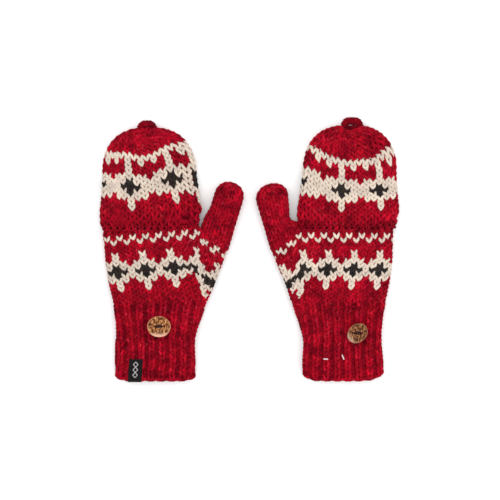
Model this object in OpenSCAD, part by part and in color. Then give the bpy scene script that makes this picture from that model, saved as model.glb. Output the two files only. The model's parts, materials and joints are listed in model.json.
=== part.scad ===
// Pair of convertible hand-knit mittens, lying flat, palm down.
// Each is a fingerless glove with four half-finger tubes and a closed thumb, and a cap that
// covers the fingers. The cap is sewn to the back of the hand along one straight line, so it
// flips back over the wrist, where the loop at its tip goes over a wooden button.
// +Y points to the fingertips, +Z up from the floor, +X to the right-hand mitten.
// Every knitted piece is a hollow shell as thick as one layer of knitting.

/* [Pair] */
// Distance between the centre lines of the two hands
pair_pitch = 195; // [192:1:240]
// How far the right wrist leans towards the left mitten
right_sway = 2; // [0:0.5:4]
// How much narrower the right hand is on its outer edge, under the cap
right_tuck = 3.5; // [0:0.5:4.5]

/* [Knitting] */
// Thickness of one knitted layer
wall = 3.6; // [3:0.1:3.7]
// Squareness of a tube's section: 2 is an ellipse, more is flatter
squareness = 3.2; // [2.6:0.1:4]
// Thickness of yarn used as a cord
cord_r = 1.2; // [0.8:0.1:1.3]

/* [Cuff] */
// Length of the ribbed cuff
cuff_len = 80; // [60:1:85]
// Height of the cuff as it lies
cuff_h = 18; // [16:0.5:20]

/* [Hand] */
// Height of the hand as it lies
hand_h = 20.2; // [19:0.1:20.2]
// Distance from the cuff to the crotch of the thumb
palm_len = 72; // [66:1:80]
// Width of the knuckles under the cap
knuckle_w = 91; // [88:0.5:91]
// Height of the knuckles under the cap
knuckle_h = 13.3; // [12:0.1:13.4]
// Distance from the hinge line to the roots of the finger tubes
knuckle_len = 15.5; // [12:0.5:18]

/* [Thumb] */
// Length of the thumb from the crotch
thumb_len = 49; // [42:1:55]
// Width of the thumb
thumb_w = 30; // [26:0.5:31]
// Lean of the thumb away from the hand
thumb_lean = 17; // [14:1:24]

/* [Half fingers] */
// Width of one finger tube
finger_w = 19; // [17:0.5:19.5]
// Height of one finger tube
finger_h = 11.4; // [10.4:0.2:11.6]
// Thickness of a finger tube's knitting
finger_wall = 2.4; // [2:0.1:2.6]
// Lengths of the tubes: index, middle, ring, little
finger_lens = [24, 28, 26, 20]; // each [16:1:30]

/* [Cap] */
// Height of the cap as it lies
cap_h = 22; // [21.6:0.1:22.2]
// Width of the cap
cap_w = 103; // [101:0.5:103]
// Length of the left cap from hinge line to tip
cap_len = 99.5; // [92:0.5:106]
// How much longer the right cap is
right_cap_extra = 2.5; // [0:0.5:5]
// Length of the ribbed hem of the cap, on the palm
cap_hem_len = 8; // [5:1:12]
// Length of the rounded end of the cap
dome_len = 50; // [42:1:54]

/* [Loop] */
// Width of the loop between the centres of its legs
loop_w = 15.4; // [14:0.2:20]
// How far the loop stands out of the cap, left and right
loop_outs = [8.7, 9.2]; // each [8.6:0.1:12]
// Thickness of the loop's cord, as a radius
loop_r = 2.1; // [1.2:0.1:2.2]

/* [Button] */
// Diameter of the button
button_d = 24; // [20:0.5:28]
// Thickness of the button
button_t = 4.2; // [3.5:0.1:5]
// Height of the thread shank between cuff and button
shank_h = 2; // [1.6:0.1:2.2]
// Places of the left and right button from the centre line and the hinge line
button_at = [[-8, -99.5], [11, -105.5]]; // across [-14:0.5:14], along [-112:0.5:-96]

/* [Labels] */
// Width of the folded tab on the left hem
tab_w = 14.5; // [10:0.5:20]
// How far the tab reaches up the cuff
tab_len = 21; // [15:1:28]
// Width and length of the label sewn inside the right cuff
care_label = [26, 28]; // each [16:1:34]

/* [Hidden] */

left = 0;
right = 1;
red = [0.50, 0.03, 0.09];
cream = [0.86, 0.80, 0.70];
coconut = [0.62, 0.42, 0.26];
black = [0.09, 0.08, 0.08];

hinge_y = 22.5;
hinge_z = 21.2;
crotch_y = 20;
hand_x = 0.3;                        // middle of the knuckles
finger_pitch = 20;
cuff_top_y = crotch_y - palm_len;
hem_y = cuff_top_y - cuff_len;
root_y = hinge_y + knuckle_len;      // roots of the finger tubes
hinge_gap = 1.5;                     // from the hinge line to the cap's sewn edge
seam_len = 64;                       // length of the sewn line
cap_taper = 4.3;                     // how much narrower each side is at the fingertips
cap_drift = 1.9;                     // how far the fingertips lie outward
mouth_tuck = 1.5;                    // how much each side draws in at the sewn edge
tip_size = [9.5, 2.2];               // half width and half height of the blunt end
loop_x = 4.4;
tab_x = 16.7;
care_label_x = -14.3;
tape_t = 0.6;
slack = 0.3;                         // gap between pieces that move apart
ring_points = 26;                    // points round a full section
crown = pow(cos(180 / ring_points), 2 / squareness);

// Edges of the left and right hand from the centre line: [part of the way, outer, thumb side]
cuff_edges = [
    [[0, 36.8, -44.4], [0.26, 36.8, -44], [0.5, 36.4, -42.8], [0.75, 36, -48.8], [1, 38.4, -55.2]],
    [[0, 38.4, -42.4], [0.26, 38.8, -44], [0.5, 36.4, -42.2], [0.75, 36.7, -47], [1, 39.6, -54.8]]];
palm_edges = [
    [[0, 38.4, -55.2], [0.28, 43.3, -64.3], [0.58, 46.3, -72.2], [0.83, 47.6, -78.8],
     [1, 49.5, -82.8]],
    [[0, 39.6, -54.8], [0.28, 43.4, -61.8], [0.58, 45.6, -72], [0.83, 45.6, -79],
     [1, 46, -82.5]]];

function ease(t) = let (c = min(1, max(0, t))) c * c * (3 - 2 * c);
function spow(v, e) = sign(v) * pow(abs(v), e);
function sway(side, y) = side == right ? -right_sway * ease((hinge_y - y) / 110) : 0;
function flat(lists) = [for (one = lists) each one];

// Points first to last of a flat tube's section, centred on [x, y], its width turned by lean
function section(x, y, lean, half_w, z0, z1, first = 0, last = ring_points - 1) = [
    for (k = [first:last])
        let (a = 360 * k / ring_points,
             u = half_w * spow(cos(a), 2 / squareness),
             v = max(-1, min(1, spow(sin(a), 2 / squareness) / crown)))
        [x + u * cos(lean), y + u * sin(lean), (z0 + z1) / 2 + (z1 - z0) / 2 * v]
];

// Two triangles for the four corners a, b, c, d, clockwise as seen from outside
function quad(a, b, c, d) = [[a, b, c], [a, c, d]];

// A wall between outer and inner sections: round is a full tube, closed shuts the last end
module shell(outer, inner, round = true, closed = false) {
    rows = len(outer);
    n = len(outer[0]);
    steps = round ? n : n - 1;
    end = rows - 1;
    out_at = function (s, k) s * n + k % n;
    in_at = function (s, k) rows * n + s * n + k % n;
    sides = flat([for (s = [0:rows - 2], k = [0:steps - 1]) concat(
        quad(out_at(s, k), out_at(s, k + 1), out_at(s + 1, k + 1), out_at(s + 1, k)),
        quad(in_at(s, k), in_at(s + 1, k), in_at(s + 1, k + 1), in_at(s, k + 1)))]);
    mouth = flat([for (k = [0:steps - 1])
        quad(out_at(0, k), in_at(0, k), in_at(0, k + 1), out_at(0, k + 1))]);
    far_rim = flat([for (k = [0:steps - 1])
        quad(out_at(end, k), out_at(end, k + 1), in_at(end, k + 1), in_at(end, k))]);
    far_caps = flat([for (k = [1:n - 2]) [
        [out_at(end, 0), out_at(end, k), out_at(end, k + 1)],
        [in_at(end, 0), in_at(end, k + 1), in_at(end, k)]]]);
    far_join = quad(out_at(end, 0), out_at(end, n - 1), in_at(end, n - 1), in_at(end, 0));
    long_edges = flat([for (s = [0:rows - 2]) concat(
        quad(out_at(s, 0), out_at(s + 1, 0), in_at(s + 1, 0), in_at(s, 0)),
        quad(out_at(s, n - 1), in_at(s, n - 1), in_at(s + 1, n - 1), out_at(s + 1, n - 1)))]);
    polyhedron(
        points = concat(flat(outer), flat(inner)),
        faces = concat(sides, mouth, closed ? far_caps : far_rim,
                       round ? [] : long_edges, !round && closed ? far_join : []),
        convexity = 8
    );
}

// Sections of the hand's tube along edges, inset by the wall for the inside
function hand_rows(side, edges, y0, length, z1s, inset) = [
    for (i = [0:len(edges) - 1])
        let (e = edges[i], y = y0 + e[0] * length)
        section((e[1] + e[2]) / 2 + sway(side, y), y, 0, (e[1] - e[2]) / 2 - inset,
                inset, z1s[i] - inset)
];

module cuff(side) {
    heights = [cuff_h, cuff_h, cuff_h, cuff_h, cuff_h];
    color(red)
    shell(hand_rows(side, cuff_edges[side], hem_y, cuff_len, heights, 0),
          hand_rows(side, cuff_edges[side], hem_y, cuff_len, heights, wall));
}

module hand(side) {
    heights = [cuff_h, hand_h, hand_h, hand_h, hand_h];
    color(red)
    shell(hand_rows(side, palm_edges[side], cuff_top_y, palm_len, heights, 0),
          hand_rows(side, palm_edges[side], cuff_top_y, palm_len, heights, wall));
}

// The hand goes on past the thumb and dips under the cap: [y, half width, bottom, top]
module knuckles(side) {
    tuck = side == right ? right_tuck / 2 : 0;
    dip = 0.9;
    z0 = (cap_h - knuckle_h) / 2;
    full = 49.2;        // half the width of the hand at the crotch
    rows = [[crotch_y, full, 0, hand_h], [hinge_y, full - 0.2, z0 - 0.4, hand_h],
            [hinge_y + dip, knuckle_w / 2, z0, z0 + knuckle_h],
            [root_y, knuckle_w / 2 - 1, z0, z0 + knuckle_h]];
    tube = function (inset)
        [for (r = rows) section(hand_x - tuck, r[0], 0, r[1] - tuck - inset, r[2] + inset,
                                r[3] - inset)];
    color(red)
    shell(tube(0), tube(wall));
}

// The thumb leaves the crotch square to the hand, then leans out and ends in a round tip
module thumb() {
    root_x = -67;
    root_half_w = 15.3;
    bend = 12;          // the lean starts this far up the thumb
    roundness = 2.2;    // of the tip: 2 is a half circle
    tip = thumb_w / 2;
    straight = thumb_len - tip;
    row = function (s, half_w, half_h, inset)
        section(root_x - s * sin(thumb_lean), crotch_y + s * cos(thumb_lean), thumb_lean,
                half_w - inset, cuff_h / 2 - half_h + inset, cuff_h / 2 + half_h - inset);
    root = function (inset)
        section(root_x - 0.2, crotch_y, 0, root_half_w - inset, inset, hand_h - inset);
    tube = function (inset)
        [for (s = [bend, straight]) row(s, tip, cuff_h / 2, inset)];
    round_end = function (inset)
        [for (f = [0.4, 0.65, 0.85, 0.97]) let (r = pow(1 - pow(f, roundness), 1 / roundness))
            row(straight + f * (tip - inset), tip * r + inset * (1 - r),
                cuff_h / 2 * r + inset * (1 - r), inset)];
    color(red)
    shell(concat([root(0)], tube(0), round_end(0)),
          concat([root(wall)], tube(wall), round_end(wall)), closed = true);
}

// Flat tube with half-round sides, made from true cylinders
module finger_tube(index) {
    x = hand_x + (index - 1.5) * finger_pitch;
    section_2d = function (inset) [finger_w - 2 * inset, finger_h - 2 * inset];
    color(red)
    translate([x, root_y, cap_h / 2])
    rotate([-90, 0, 0])
    linear_extrude(finger_lens[index])
    difference() {
        stadium(section_2d(0), $fn = 48);
        stadium(section_2d(finger_wall), $fn = 48);
    }
}

module stadium(size) {
    reach = (size[0] - size[1]) / 2;
    square([2 * reach, size[1]], center = true);
    for (side = [-1, 1])
        translate([side * reach, 0]) circle(d = size[1]);
}

// The thread that whips the cap to the hand: it lies on the hinge line
module hinge_seam() {
    color(red)
    translate([hand_x, hinge_y, hinge_z])
    rotate([0, 90, 0])
    cylinder(r = cord_r, h = seam_len, center = true, $fn = 32);
}

function tip_y(side) = hinge_y + cap_len + (side == right ? right_cap_extra : 0);

// One section of the cap at y: it narrows a little, then a blunt dome covers the fingertips
function cap_row(side, y, inset, first, last) =
    let (f = min(1, max(0, (y - tip_y(side) + dome_len) / (dome_len - inset))),
         up = y - hinge_y,
         side_w = cap_w / 2 - cap_taper * ease((up - 12) / 40) - mouth_tuck * ease(1 - up / 12),
         half_w = max(tip_size[0], (side_w - inset) * pow(1 - pow(f, 2.5), 1 / 2.5)),
         half_h = max(tip_size[1], (cap_h / 2 - inset) * pow(1 - pow(f, 4), 1 / 2.5)),
         x = 0.5 + cap_drift * ease((up - 7.5) / 70))
    section(x, y, 0, half_w, cap_h / 2 - half_h, cap_h / 2 + half_h, first, last);

function cap_rows(side, y0, inset, first, last) =
    let (dome_y = tip_y(side) - dome_len,
         straight = [for (p = [0, 0.35, 0.7]) y0 + p * (dome_y - y0)],
         dome = [for (f = [0, 0.35, 0.55, 0.72, 0.85, 0.94, 1]) dome_y + f * (dome_len - inset)])
    [for (y = concat(straight, dome)) cap_row(side, y, inset, first, last)];

half = ring_points / 2;

module cap_back(side) {
    y0 = hinge_y + hinge_gap;
    color(red)
    shell(cap_rows(side, y0, 0, 0, half), cap_rows(side, y0, wall, 0, half),
          round = false, closed = true);
}

module cap_palm(side) {
    y0 = hinge_y + hinge_gap + cap_hem_len;
    color(red)
    shell(cap_rows(side, y0, 0, half, 2 * half), cap_rows(side, y0, wall, half, 2 * half),
          round = false, closed = true);
}

module cap_hem(side) {
    ys = [hinge_y + hinge_gap, hinge_y + hinge_gap + cap_hem_len];
    color(red)
    shell([for (y = ys) cap_row(side, y, 0, half, 2 * half)],
          [for (y = ys) cap_row(side, y, wall, half, 2 * half)], round = false);
}

// A staple of cord: two legs whose round feet turn on one line, rounded shoulders, a straight top
module loop(side) {
    foot_y = tip_y(side) + loop_r + slack;
    rise = loop_outs[side] - 2 * loop_r - slack;
    bend = 3.2;
    reach = loop_w / 2;
    color(red)
    translate([loop_x, foot_y, cap_h / 2]) {
        for (s = [-1, 1]) {
            translate([s * reach, 0, 0]) rotate([0, 90, 0])
                cylinder(r = loop_r, h = 2 * loop_r, center = true, $fn = 32);
            translate([s * reach, 0, 0]) rotate([-90, 0, 0])
                cylinder(r = loop_r, h = rise - bend, $fn = 32);
            translate([s * (reach - bend), rise - bend, 0]) rotate([0, 0, s > 0 ? 0 : 90])
                rotate_extrude(angle = 90, $fn = 48) translate([bend, 0]) circle(r = loop_r, $fn = 32);
        }
        translate([0, rise, 0]) rotate([0, 90, 0])
            cylinder(r = loop_r, h = 2 * (reach - bend), center = true, $fn = 32);
    }
}

hole_pitch = 5.4;
hole_r = 1.25;
thread_r = 0.8;
dish = 1.2;             // depth of the hollow in the button's face

module at_button(side) {
    translate([button_at[side][0] + sway(side, hinge_y + button_at[side][1]),
               hinge_y + button_at[side][1], cuff_h + slack])
    children();
}

// A turned button with a raised rim and two thread holes
module button(side) {
    r = button_d / 2;
    rim_w = 2.2;
    bevel = 1.4;
    color(coconut)
    at_button(side)
    translate([0, 0, shank_h])
    difference() {
        rotate_extrude($fn = 96)
        polygon([[0, 0], [r - 3, 0], [r, bevel], [r, button_t - dish], [r - 1, button_t - 0.2],
                 [r - rim_w, button_t], [r - rim_w - bevel, button_t - dish + 0.2],
                 [0, button_t - dish]]);
        for (s = [-1, 1])
            translate([s * hole_pitch / 2, 0, -1])
            cylinder(r = hole_r, h = button_t + 2, $fn = 32);
    }
}

// Sewing thread: a wrapped shank, two strands through the holes and a bar across the top
module button_thread(side) {
    shank_r = 3.8;
    bar_z = shank_h + button_t - dish + thread_r + 0.1;
    color(red)
    at_button(side) {
        cylinder(r = shank_r, h = shank_h, $fn = 32);
        for (s = [-1, 1])
            translate([s * hole_pitch / 2, 0, shank_h - 0.5])
            cylinder(r = thread_r, h = bar_z - shank_h + 0.5, $fn = 24);
        translate([0, 0, bar_z]) rotate([0, 90, 0])
            cylinder(r = thread_r, h = hole_pitch + 2 * thread_r, center = true, $fn = 24);
    }
}

// Woven tab folded over the hem of the left cuff, blank on both faces
module tab() {
    edge = hem_y - slack;
    end = hem_y + tab_len;
    inner_end = hem_y + 0.7 * tab_len;
    inside = cuff_h - wall - 1.6;
    color(black)
    translate([tab_x - tab_w / 2, 0, 0])
    rotate([90, 0, 90])
    linear_extrude(tab_w)
    polygon([[end, cuff_h], [end, cuff_h + tape_t], [edge - tape_t, cuff_h + tape_t],
             [edge - tape_t, inside - tape_t], [inner_end, inside - tape_t],
             [inner_end, inside], [edge, inside], [edge, cuff_h]]);
}

module care_label_patch() {
    color(cream)
    translate([care_label_x - care_label[0] / 2, hem_y + 2, cuff_h - wall - 1.4])
    cube([care_label[0], care_label[1], 0.5]);
}

// The two tacks that hold the label inside show on the back of the cuff: [x, up the cuff, turn]
module label_stitches() {
    color(cream)
    for (tack = [[-21.3, 23.1, 0], [-4, 24.4, 115]])
        translate([tack[0], hem_y + tack[1], cuff_h + 0.6])
        rotate([0, 0, tack[2]])
        rotate([0, 90, 0])
        cylinder(r = 0.5, h = 5.6, center = true, $fn = 24);
}

// The left mitten is the right one's mirror image
module place(side) {
    translate([(side == right ? 1 : -1) * pair_pitch / 2, 0, 0])
    mirror([side == right ? 0 : 1, 0, 0])
    children();
}

place(left) cuff(left);  // left_cuff
place(left) hand(left);  // left_hand
place(left) knuckles(left);  // left_knuckles
place(left) thumb();  // left_thumb
place(left) finger_tube(0);  // left_index_tube
place(left) finger_tube(1);  // left_middle_tube
place(left) finger_tube(2);  // left_ring_tube
place(left) finger_tube(3);  // left_little_tube
place(left) hinge_seam();  // left_hinge_seam
place(left) cap_back(left);  // left_cap_back
place(left) cap_palm(left);  // left_cap_palm
place(left) cap_hem(left);  // left_cap_hem
place(left) loop(left);  // left_loop
place(left) button(left);  // left_button
place(left) button_thread(left);  // left_button_thread
place(left) tab();  // left_tab
place(right) cuff(right);  // right_cuff
place(right) hand(right);  // right_hand
place(right) knuckles(right);  // right_knuckles
place(right) thumb();  // right_thumb
place(right) finger_tube(0);  // right_index_tube
place(right) finger_tube(1);  // right_middle_tube
place(right) finger_tube(2);  // right_ring_tube
place(right) finger_tube(3);  // right_little_tube
place(right) hinge_seam();  // right_hinge_seam
place(right) cap_back(right);  // right_cap_back
place(right) cap_palm(right);  // right_cap_palm
place(right) cap_hem(right);  // right_cap_hem
place(right) loop(right);  // right_loop
place(right) button(right);  // right_button
place(right) button_thread(right);  // right_button_thread
place(right) care_label_patch();  // right_care_label
place(right) label_stitches();  // right_label_stitches
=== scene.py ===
"""A pair of convertible hand-knit mittens, knitted stitch by stitch around the CAD frame.

Lengths inside this script are millimetres in one mitten's own coordinates: x is outward from the
hand's centre line (the thumb is at -x), y to the fingertips, z up. to_world() mirrors the left
mitten and turns millimetres into the frame's metres.
"""
import json
import math

import bpy
import numpy as np
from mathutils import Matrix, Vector


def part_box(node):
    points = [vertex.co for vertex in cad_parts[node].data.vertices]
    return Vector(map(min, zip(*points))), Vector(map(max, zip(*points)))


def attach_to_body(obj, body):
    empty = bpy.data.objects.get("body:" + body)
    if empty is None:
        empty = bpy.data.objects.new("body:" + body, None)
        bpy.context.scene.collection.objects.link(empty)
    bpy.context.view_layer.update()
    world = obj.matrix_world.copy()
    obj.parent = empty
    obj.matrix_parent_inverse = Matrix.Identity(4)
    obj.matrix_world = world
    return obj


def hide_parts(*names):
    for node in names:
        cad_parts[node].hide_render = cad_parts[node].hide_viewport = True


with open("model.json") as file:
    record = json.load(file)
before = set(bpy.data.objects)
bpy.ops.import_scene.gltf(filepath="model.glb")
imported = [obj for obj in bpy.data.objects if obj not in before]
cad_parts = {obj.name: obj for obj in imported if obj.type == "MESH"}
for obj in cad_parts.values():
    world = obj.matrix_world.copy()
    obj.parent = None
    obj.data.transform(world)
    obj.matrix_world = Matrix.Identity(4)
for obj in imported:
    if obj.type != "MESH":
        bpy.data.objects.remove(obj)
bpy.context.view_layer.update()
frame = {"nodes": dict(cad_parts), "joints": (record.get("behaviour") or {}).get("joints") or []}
MM = 0.001
rng = np.random.default_rng(7)

# ---------------- frame measures


def joint(name):
    return next(j for j in frame["joints"] if j["name"] == name)


def box_mm(node):
    """A node's lowest and highest corners in its own mitten's coordinates, millimetres."""
    low, high = (np.array(c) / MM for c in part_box(node))
    side = node.split("_")[0]
    xs = sorted(SIGN[side] * (x - CENTRE[side]) for x in (low[0], high[0]))
    return np.array([xs[0], low[1], low[2]]), np.array([xs[1], high[1], high[2]])


def pair(left, right):
    return {"left": left, "right": right}


SIGN = pair(-1.0, 1.0)
CENTRE = {s: joint(s + "_cap_flip")["pos_m"][0] / MM for s in SIGN}
HINGE_Y = joint("left_cap_flip")["pos_m"][1] / MM


def to_world(points, side):
    out = np.array(points, dtype=float)
    out[..., 0] = CENTRE[side] + SIGN[side] * out[..., 0]
    return out * MM


def outline(node):
    """[y, outer edge, thumb-side edge, bottom, top] at each ring of vertices of a CAD tube."""
    side = node.split("_")[0]
    mesh = frame["nodes"][node].data
    points = np.array([v.co[:] for v in mesh.vertices]) / MM
    points[:, 0] = SIGN[side] * (points[:, 0] - CENTRE[side])
    rows = []
    for y in np.unique(np.round(points[:, 1], 1)):
        ring = points[np.abs(points[:, 1] - y) < 0.11]
        rows.append([y, ring[:, 0].max(), ring[:, 0].min(), ring[:, 2].min(), ring[:, 2].max()])
    return np.array(rows)


SOFTEN = 9.0             # the corners of an outline are rounded over about this length
OUTLINE_MARGIN = 30      # how far an outline is carried on past its ends
KERNEL_REACH = 20


def smooth_rows(rows, ys):
    """Reads an outline at ys, with its corners rounded over."""
    fine = np.arange(rows[0, 0] - OUTLINE_MARGIN, rows[-1, 0] + OUTLINE_MARGIN, 1.0)
    kernel = np.exp(-0.5 * (np.arange(-KERNEL_REACH, KERNEL_REACH + 1) / (SOFTEN / 2)) ** 2)
    kernel /= kernel.sum()
    out = []
    for edge in rows.T[1:]:
        first_slope, last_slope = ((edge[b] - edge[a]) / (rows[b, 0] - rows[a, 0])
                                   for a, b in ((0, 1), (-2, -1)))
        values = np.interp(fine, rows[:, 0], edge)
        values += np.minimum(fine - rows[0, 0], 0) * first_slope
        values += np.maximum(fine - rows[-1, 0], 0) * last_slope
        padded = np.pad(values, KERNEL_REACH, mode="edge")
        out.append(np.interp(ys, fine, np.convolve(padded, kernel, mode="valid")))
    return out


def outline_at(rows, y):
    """[outer edge, thumb-side edge, bottom, top] of an outline at y."""
    return [float(np.interp(y, rows[:, 0], edge)) for edge in rows.T[1:]]


def ease(t):
    c = np.clip(t, 0, 1)
    return c * c * (3 - 2 * c)


def unit(v):
    return v / (np.linalg.norm(v, axis=-1, keepdims=True) + 1e-9)


def upward(count):
    return np.tile([0.0, 0.0, 1.0], (count, 1))


# ---------------- objects


def add_object(name, data):
    made = bpy.data.objects.new(name, data)
    bpy.context.scene.collection.objects.link(made)
    return made


def apply_modifier(made, modifier):
    bpy.context.view_layer.objects.active = made
    bpy.ops.object.modifier_apply(modifier=modifier.name)


def paint(mesh, name, values):
    """Gives every vertex a value or a colour."""
    values = np.asarray(values, dtype=np.float32)
    kind, key = ("FLOAT", "value") if values.ndim == 1 else ("FLOAT_COLOR", "color")
    mesh.attributes.new(name, kind, "POINT").data.foreach_set(key, values.ravel())


def attach(made, side, body, slot, *replaced):
    """Puts a piece on the body that it rides on and hides the CAD nodes that it stands for. slot,
    the finish it would take, is not used.
    """
    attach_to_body(made, f"{side}_{body}")
    if replaced:
        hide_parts(*(f"{side}_{node}" for node in replaced))


# ---------------- materials

RED, CREAM, BLACK = 0, 1, 2
# Base colour of each yarn, then how strongly it is heathered
YARN_DYE = np.array([[0.262, 0.0010, 0.0108, 1.0],
                     [0.560, 0.470, 0.392, 0.14],
                     [0.022, 0.018, 0.0165, 0.25]])
HEATHER_SPREAD = np.array([0.13, 0.045, 0.10])   # how far one stitch's shade strays from the next
PLY_PITCH = 2.6          # length of strand for one ply to pass
THREAD_DYE = {"button": (0.035, 0.010, 0.010, 0.4), "label": (0.82, 0.70, 0.70, 0.1)}


def grey(value):
    return value, value, value


class Shading:
    """A material's node tree, with short names for the nodes that it is made of."""

    def __init__(self, name):
        self.material = bpy.data.materials.new(name)
        self.material.use_nodes = True
        self.tree = self.material.node_tree
        self.shader = self.tree.nodes["Principled BSDF"]

    def feed(self, made, inputs):
        """Links sockets to other nodes' outputs, or sets them to numbers, colours or vectors."""
        for key, value in inputs.items():
            socket = made.inputs[key]
            if isinstance(value, bpy.types.NodeSocket):
                self.tree.links.new(value, socket)
            else:
                socket.default_value = (*value, 1) if socket.type == "RGBA" else value
        return made

    def node(self, kind, inputs, **settings):
        made = self.tree.nodes.new("ShaderNode" + kind)
        for key, value in settings.items():
            setattr(made, key, value)
        return self.feed(made, inputs)

    def calc(self, operation, *values):
        return self.node("Math", dict(enumerate(values)), operation=operation).outputs[0]

    def times(self, a, b):
        return self.calc("MULTIPLY", a, b)

    def plus(self, a, b):
        return self.calc("ADD", a, b)

    def wave(self, operation, value, pitch=1.0):
        """The sine or cosine of value, with one turn to a pitch."""
        return self.calc(operation, self.times(value, 2 * math.pi / pitch))

    def raised(self, wave):
        """-1 to 1 becomes 0 to 1."""
        return self.plus(self.times(wave, 0.5), 0.5)

    def vector(self, *parts):
        return self.node("CombineXYZ", dict(enumerate(parts))).outputs[0]

    def uv(self, name):
        return self.node("UVMap", {}, uv_map=name).outputs[0]

    def split(self, vector):
        return self.node("SeparateXYZ", {0: vector}).outputs[:2]

    def attribute(self, name):
        return self.node("Attribute", {}, attribute_name=name).outputs

    def noise(self, coords, scale, detail, rough):
        inputs = {"Vector": coords, "Scale": scale, "Detail": detail, "Roughness": rough}
        return self.node("TexNoise", inputs).outputs["Fac"]

    def mix(self, kind, factor, a, b):
        inputs = {0: factor, 6: a, 7: b}
        return self.node("Mix", inputs, data_type="RGBA", blend_type=kind).outputs[2]

    def ramp(self, factor, *stops):
        made = self.node("ValToRGB", {0: factor})
        elements = made.color_ramp.elements
        while len(elements) < len(stops):
            elements.new(0.5)
        for element, (place, colour) in zip(elements, stops):
            element.position = place
            element.color = (*colour, 1)
        return made.outputs[0]

    def tinted(self, amount, colour, factor, *stops):
        """Multiplies a colour by a ramp of tints."""
        return self.mix("MULTIPLY", amount, colour, self.ramp(factor, *stops))

    def finish(self, colour, height, strength, distance, rough, specular):
        """Sets the shader's colour, bump, roughness and reflection, and gives the material."""
        bump = self.node("Bump", {"Height": height, "Strength": strength, "Distance": distance})
        self.feed(self.shader, {"Base Color": colour, "Normal": bump.outputs[0],
                                "Roughness": rough, "Specular IOR Level": specular})
        return self.material


def wool_material():
    """Two-ply heathered wool: chart colour, marl along the strand, ply twist, loose fibres, with
    painted shade on the strand's sides and underside and a painted highlight along its top.
    """
    m = Shading("wool")
    along, around = m.split(m.uv("Strand"))
    dye = m.attribute("Dye")
    heather = dye["Alpha"]
    front, side = m.wave("COSINE", around), m.wave("SINE", around)
    twist = m.plus(m.times(along, 1 / PLY_PITCH), m.times(around, 2.0))
    twist = m.raised(m.wave("SINE", twist))
    fibres = m.plus(m.times(around, 7.0), m.times(along, 0.9))
    fibres = m.noise(m.vector(m.times(along, 0.22), fibres), 2.4, 4.0, 0.7)
    barrel = m.vector(m.times(along, 0.26), m.times(front, 0.75), m.times(side, 0.75))
    marl = m.noise(barrel, 1.0, 3.0, 0.65)
    spun = m.noise(m.vector(m.times(along, 0.075)), 1.0, 3.0, 0.6)
    patches = m.noise(m.node("TexCoord", {}).outputs["Object"], 75.0, 3.0, 0.55)

    colour = m.tinted(heather, dye["Color"], marl,
                      (0.30, (0.42, 0.32, 0.46)), (0.43, (0.90, 0.86, 0.90)),
                      (0.57, (1.03, 1.0, 1.0)), (0.68, (1.35, 1.6, 1.5)))
    lint = m.node("MapRange", {"Value": marl, "From Min": 0.60, "From Max": 0.74}).outputs[0]
    colour = m.mix("MIX", m.times(m.times(lint, heather), 0.30), colour, (0.50, 0.10, 0.14))
    colour = m.tinted(heather, colour, spun, (0.34, (0.55, 0.50, 0.62)), (0.5, grey(1.0)),
                      (0.66, (1.36, 1.6, 1.25)))
    # painted shade and highlight: the strand is darker on its sides and underside and lighter along
    # its outward top
    colour = m.tinted(0.85, colour, m.raised(front), (0.0, (0.34, 0.34, 0.36)),
                      (0.5, (0.66, 0.63, 0.66)), (0.88, grey(1.10)))
    colour = m.tinted(0.6, colour, fibres, (0.30, (0.72, 0.70, 0.72)), (0.5, grey(1.0)),
                      (0.7, (1.16, 1.2, 1.2)))
    colour = m.tinted(0.4, colour, twist, (0.0, (0.62, 0.60, 0.62)), (0.45, grey(1.0)))
    colour = m.tinted(heather, colour, patches, (0.36, (0.72, 0.70, 0.78)), (0.50, grey(1.0)),
                      (0.64, (1.22, 1.25, 1.1)))
    m.feed(m.shader, {"Sheen Weight": 0.012, "Sheen Roughness": 0.5,
                      "Sheen Tint": (1.0, 0.6, 0.6)})
    height = m.plus(m.times(twist, 0.6), m.times(fibres, 0.7))
    return m.finish(colour, height, strength=0.75, distance=0.0006, rough=0.92, specular=0.035)


def coconut_material():
    """Turned coconut shell: golden brown with short dark fibres, paler where the rim is cut."""
    m = Shading("coconut")
    place = m.uv("Turned")
    grain = m.node("Mapping", {"Vector": place, "Rotation": (0, 0, 0.5), "Scale": (1.0, 0.34, 1.0)})
    warped = m.mix("LINEAR_LIGHT", 0.18, grain.outputs[0], m.noise(place, 5.0, 2.0, 0.5))
    dashes = m.noise(warped, 8.5, 3.0, 0.75)
    flecks = m.ramp(dashes, (0.42, (0.045, 0.012, 0.003)), (0.48, (0.15, 0.048, 0.010)),
                    (0.53, (0.40, 0.175, 0.050)), (0.60, (1.0, 0.66, 0.34)))
    colour = m.tinted(0.9, flecks, m.noise(place, 3.2, 2.0, 0.5), (0.3, (0.72, 0.66, 0.60)),
                      (0.7, (1.1, 1.05, 1.0)))
    colour = m.mix("MIX", m.attribute("Rim")["Fac"], colour, (0.66, 0.36, 0.22))
    colour = m.mix("MIX", m.attribute("Pale")["Fac"], colour, (1.0, 0.82, 0.68))
    colour = m.mix("MULTIPLY", 1.0, colour, m.attribute("Tone")["Color"])
    return m.finish(colour, dashes, strength=0.35, distance=0.0004, rough=0.5, specular=0.1)


def thread_material():
    m = Shading("sewing_thread")
    along, around = m.split(m.uv("Strand"))
    twist = m.wave("SINE", m.plus(m.times(along, 1.1), m.times(around, 2.0)))
    colour = m.tinted(0.8, m.attribute("Dye")["Color"], m.raised(twist), (0.0, grey(0.55)),
                      (0.6, grey(1.1)))
    return m.finish(colour, twist, strength=0.5, distance=0.0002, rough=0.6, specular=0.25)


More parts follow.
